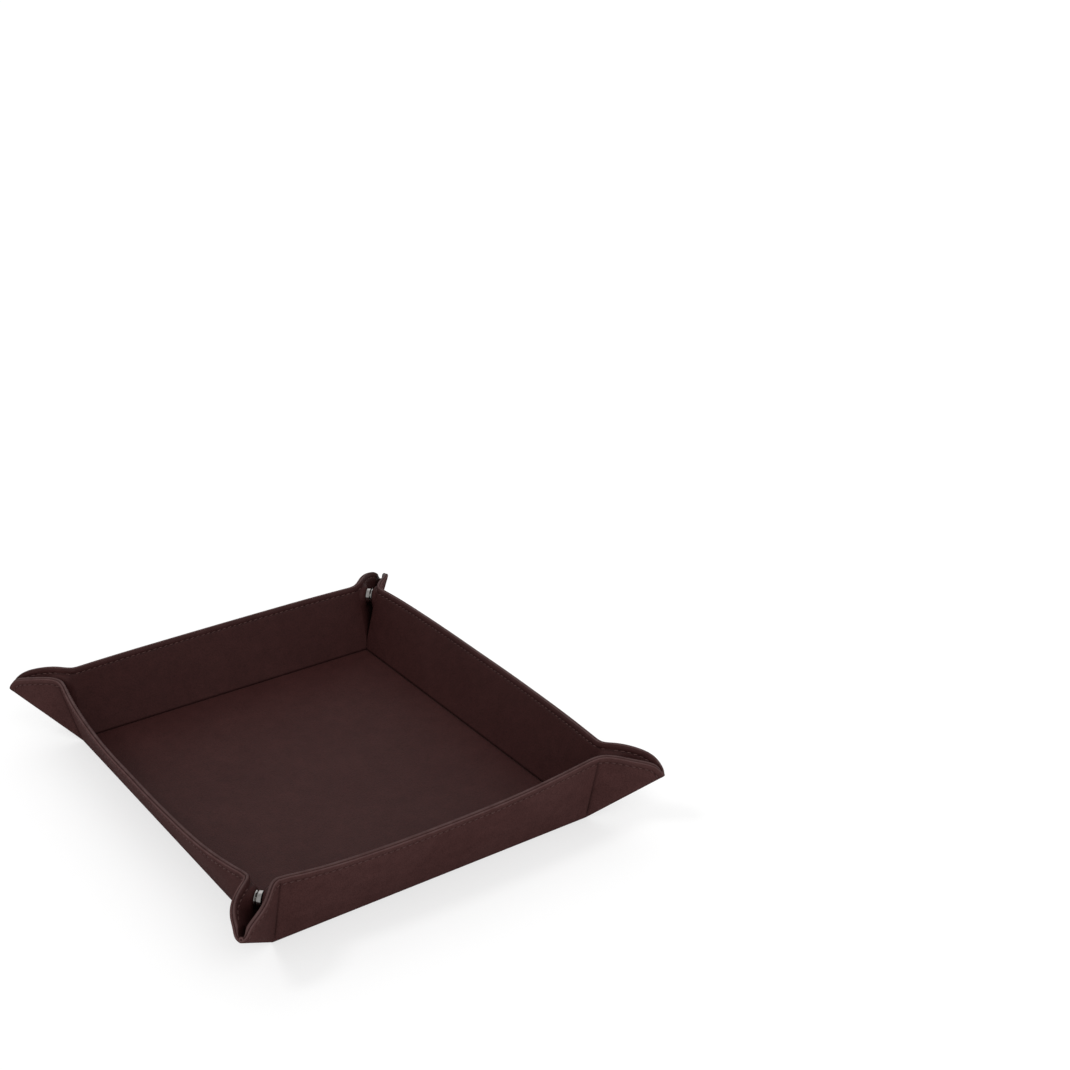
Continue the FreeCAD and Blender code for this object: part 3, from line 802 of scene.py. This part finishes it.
def make_floor(inner):
    """The lining or the outer leather of the floor, from loops (inset, level, painted shade)."""
    if inner:
        shape = [(30, SEAM + HALF, 0), (FEATHER + 0.05, SEAM + HALF, 0)]
        # Painted shade along the line where the floor's lining meets the walls'.
        shape.append((FOLD_CORE + 0.04, 2 * HALF - 0.9, LINE_DARK))
        for lift, sink in reversed(LINE_ROWS):
            inset = INNER_LOW + lift - sink * math.tan(FOLD / 2)
            shape.append((inset, 2 * HALF - sink, LINE_DARK * (1 - smooth(lift / LINE_REACH))))
        shape += [(inset, 2 * HALF, 0) for inset in (4, 8, 14, 22) + FLOOR_INSETS]
    else:
        shape = [(30, SEAM + HALF, 0), (FEATHER, SEAM + HALF, 0)]
        for x in (1.3, 1.1, 0.85, 0.6, 0.35, 0.12):
            shape.append((x, HALF - math.sqrt(FEATHER**2 - x**2), 0))
        shape += [(inset, 0.0, 0) for inset in (0.0, 1.5, 4, 10, 20) + FLOOR_INSETS]
    points = np.array([floor_loop(inset, level) for inset, level, _ in shape])
    painted_shade = np.array([mark for _, _, mark in shape], float)[:, None]
    if inner:
        x, y = points[..., 0], points[..., 1]
        edge = np.minimum(FLOOR_WIDTH / 2 - np.abs(x), FLOOR_DEPTH / 2 - np.abs(y))
        ripple = np.sin(x * 0.05 + 0.7) * np.sin(y * 0.043 + 0.4) + 0.5 * np.sin(x * 0.11 - y * 0.07)
        points[..., 2] += RIPPLE_HEIGHT * ripple * smooth((edge - 3) / 16) * (points[..., 2] > 2.5)
    shell = Shell()
    shell.grid(points, np.zeros((1, 1)), painted_shade)
    node = "floor_lining" if inner else "floor_outer"
    piece = shell.make(node + "_skin", Matrix.Identity(4), LINING if inner else OUTER_WITH_PAINTED_LIGHT, "floor")
    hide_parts(node)


make_floor(False)
make_floor(True)

# Stitches: twisted thread, one row on each face of each wall and each leaf, laid in the stitch channel.


def stitch(shell, middle, ahead, across, up, turned):
    """One stitch of two plies, sunk into the leather at both ends."""
    sides, rings = 8, 9
    length, radius, sink = 2.4, 0.29, 0.40
    ahead = ahead * math.cos(STITCH_SLANT) + across * math.sin(STITCH_SLANT)
    across = np.cross(up, ahead)
    points = np.zeros((rings, sides, 3))
    for j in range(rings):
        t = -1 + 2 * j / (rings - 1)
        centre = middle + ahead * (t * length / 2) + up * (0.08 - sink * t**4)
        thick = radius * (1 - 0.55 * t**8)
        for i in range(sides):
            angle = 2 * math.pi * i / sides
            ply = thick * (1 + 0.14 * math.cos(2 * angle - t * 5))
            points[j, i] = centre + across * (math.cos(angle) * ply) + up * (math.sin(angle) * ply)
    shell.grid(points, np.zeros((1, 1)), np.zeros((1, 1)), turned)


def stitch_axes(ahead, up):
    """Unit directions along the seam, across it and out of the leather."""
    ahead = ahead / np.linalg.norm(ahead)
    up = up - ahead * (up @ ahead)
    up = up / np.linalg.norm(up)
    return ahead, np.cross(up, ahead), up


def sew(name, place, body, mirror, rows):
    """A piece of thread from stitches (middle, axes, share of the turn)."""
    shell = Shell()
    for middle, axes, turned in rows:
        stitch(shell, middle, *axes, turned)
    shell.make(name, place, THREAD, body, mirror)


def wall_stitches(name, sign, seed):
    """Stitches along a wall on the lining (1) or on the outer leather (-1)."""
    half = WALLS[name][2] / 2
    count = int((2 * half - STITCH_CLEAR) / STITCH_PITCH)
    rows = []
    for k in range(count):
        u = (k - (count - 1) / 2) * STITCH_PITCH
        past = half - abs(u)
        v = rim_rise(-past) - STITCH_INSET
        w = sign * (HALF - STITCH_SINK) + float(wave(u, v, seed) * smooth(past / WAVE_CLEAR))
        spot, turned = bowed(name, u, u, v, w)
        ahead = bowed(name, u + 0.5, u + 0.5, v, w)[0] - spot
        up = bowed(name, u, u, v, w + sign)[0] - spot
        rows.append((spot, stitch_axes(ahead, up), float(turned)))
    face = "lining" if sign > 0 else "outer"
    sew(f"{name}_wall_{face}_stitches", wall_place(name), f"{name}_wall", 1, rows)


def leaf_stitches(corner, kind, wall, side, sign):
    """Stitches along a leaf on the lining (1) or on the outer leather (-1)."""
    spread = SPREADS[corner][kind == "stud"]
    out = np.linspace(0.0, TIP, 400)
    rim, inward = leaf_paths(out)
    line = rim + inward * STITCH_INSET
    run = np.concatenate([[0], np.cumsum(np.linalg.norm(np.diff(line, axis=0), axis=1))])
    from_fold = (line[:, 1] - line[:, 0]) / ROOT2
    stop = np.interp(-STITCH_STOP[sign], -from_fold, run)
    w = sign * (HALF - STITCH_SINK)
    rows = []
    where = STITCH_PITCH / 2 + 0.2
    while where < stop:
        x, y = (np.interp(where, run, line[:, k]) for k in (0, 1))
        next_x, next_y = (np.interp(where + 0.3, run, line[:, k]) for k in (0, 1))
        spot, turned = opened(x, y, w, spread)
        ahead = opened(next_x, next_y, w, spread)[0] - spot
        up = opened(x, y, w + sign, spread)[0] - spot
        rows.append((spot, stitch_axes(ahead, up), float(turned)))
        where += STITCH_PITCH
    face = "lining" if sign > 0 else "outer"
    body = f"{corner}_{kind}_leaf"
    sew(f"{body}_{face}_stitches", leaf_place(wall, side), body, side, rows)


for index, wall in enumerate(WALLS):
    wall_stitches(wall, -1, WAVE_PHASE + index)
    wall_stitches(wall, 1, WAVE_PHASE + index)
for corner, kind, wall, side in LEAVES:
    leaf_stitches(corner, kind, wall, side, -1)
    leaf_stitches(corner, kind, wall, side, 1)

# The solids that show as they are: the floor's board, the eyelets and the press studs.
for node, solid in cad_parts.items():
    finish = CHROME if "snap" in node else STEEL if "eyelet" in node else BOARD if "board" in node else None
    if finish:
        solid.data.materials.clear()
        solid.data.materials.append(finish)

# Stage, light and camera, in metres.
STAGE_REACH = 6.0
STAGE_DROP = 0.0002
STAGE_GLOW = 0.60
STAGE_LIT = (0.85, 0.85, 0.85, 1)
STAGE_SEEN = (0.42, 0.42, 0.42, 1)
WORLD_LEVEL = 0.64
CAMERA_SPOT = (-0.3800, -0.7280, 0.5077)
CAMERA_RIGHT = (0.8164, -0.5774, 0.0)
CAMERA_UP = (0.2376, 0.3360, 0.9114)
CAMERA_BACK = (-0.5263, -0.7441, 0.4115)
CAMERA_SENSOR = 36.0
CAMERA_LENS = 60.66


def stage_floor():
    """White ground that keeps the shadow and is clear from below."""
    mesh = bpy.data.meshes.new("stage_floor")
    corners = [(x * STAGE_REACH, y * STAGE_REACH, 0) for x, y in ((-1, -1), (1, -1), (1, 1), (-1, 1))]
    mesh.from_pydata(corners, [], [(0, 1, 2, 3)])
    plane = bpy.data.objects.new("stage_floor", mesh)
    bpy.context.scene.collection.objects.link(plane)
    plane.location.z = -STAGE_DROP
    material, nodes, links, shader = new_material("stage_white")
    nodes.remove(shader)
    output = nodes["Material Output"]
    diffuse = nodes.new("ShaderNodeBsdfDiffuse")
    glow = nodes.new("ShaderNodeEmission")
    path = nodes.new("ShaderNodeLightPath")
    seen = nodes.new("ShaderNodeMath")
    seen.operation = "MAXIMUM"
    links.new(path.outputs["Is Camera Ray"], seen.inputs[0])
    links.new(path.outputs["Is Glossy Ray"], seen.inputs[1])
    level = nodes.new("ShaderNodeMath")
    level.operation = "MULTIPLY"
    level.inputs[1].default_value = STAGE_GLOW
    links.new(seen.outputs[0], level.inputs[0])
    links.new(level.outputs[0], glow.inputs["Strength"])
    links.new(mixed(nodes, links, seen.outputs[0], STAGE_LIT, STAGE_SEEN), diffuse.inputs["Color"])
    both = nodes.new("ShaderNodeAddShader")
    links.new(diffuse.outputs[0], both.inputs[0])
    links.new(glow.outputs[0], both.inputs[1])
    one_sided = nodes.new("ShaderNodeMixShader")
    side = nodes.new("ShaderNodeNewGeometry")
    clear = nodes.new("ShaderNodeBsdfTransparent")
    links.new(side.outputs["Backfacing"], one_sided.inputs[0])
    links.new(both.outputs[0], one_sided.inputs[1])
    links.new(clear.outputs[0], one_sided.inputs[2])
    links.new(one_sided.outputs[0], output.inputs["Surface"])
    mesh.materials.append(material)


def world_light():
    """White where the camera sees it, softer as a light."""
    world = bpy.data.worlds.new("studio")
    bpy.context.scene.world = world
    world.use_nodes = True
    nodes, links = world.node_tree.nodes, world.node_tree.links
    back = nodes["Background"]
    back.inputs["Color"].default_value = (1, 1, 1, 1)
    path = nodes.new("ShaderNodeLightPath")
    seen = nodes.new("ShaderNodeMath")
    seen.operation = "MAXIMUM"
    links.new(path.outputs["Is Camera Ray"], seen.inputs[0])
    links.new(path.outputs["Is Transmission Ray"], seen.inputs[1])
    level = nodes.new("ShaderNodeMapRange")
    level.inputs["To Min"].default_value = WORLD_LEVEL
    level.inputs["To Max"].default_value = 1.0
    links.new(seen.outputs[0], level.inputs["Value"])
    links.new(level.outputs["Result"], back.inputs["Strength"])


def soft_sun(name, toward, spread, level, shine=1.0):
    """A broad lamp from that direction; level is what it adds to a white face square to it."""
    lamp = bpy.data.lights.new(name, "SUN")
    lamp.angle = math.radians(spread)
    lamp.energy = level * math.pi
    lamp.specular_factor = shine
    lamp_object = bpy.data.objects.new(name, lamp)
    bpy.context.scene.collection.objects.link(lamp_object)
    lamp_object.location = Vector(toward)
    lamp_object.rotation_mode = "QUATERNION"
    lamp_object.rotation_quaternion = Vector(toward).to_track_quat("Z", "Y")


def make_camera():
    """The photograph's viewpoint, solved from the tray's edges."""
    data = bpy.data.cameras.new("camera")
    data.sensor_width = CAMERA_SENSOR
    data.lens = CAMERA_LENS
    camera = bpy.data.objects.new("camera", data)
    bpy.context.scene.collection.objects.link(camera)
    turn = Matrix((CAMERA_RIGHT, CAMERA_UP, CAMERA_BACK)).transposed().to_4x4()
    camera.matrix_world = Matrix.Translation(CAMERA_SPOT) @ turn
    data.clip_start = 0.01
    data.clip_end = 50.0
    bpy.context.scene.camera = camera


stage_floor()
world_light()
soft_sun("front_light", toward=(-0.15, -1.0, 0.75), spread=50, level=0.34, shine=0.3)
soft_sun("left_light", toward=(-0.7, 0.25, 1.0), spread=14, level=0.19)
soft_sun("back_light", toward=(0.4, 0.8, 0.5), spread=60, level=0.14)
make_camera()
bpy.context.scene.view_settings.view_transform = "Standard"
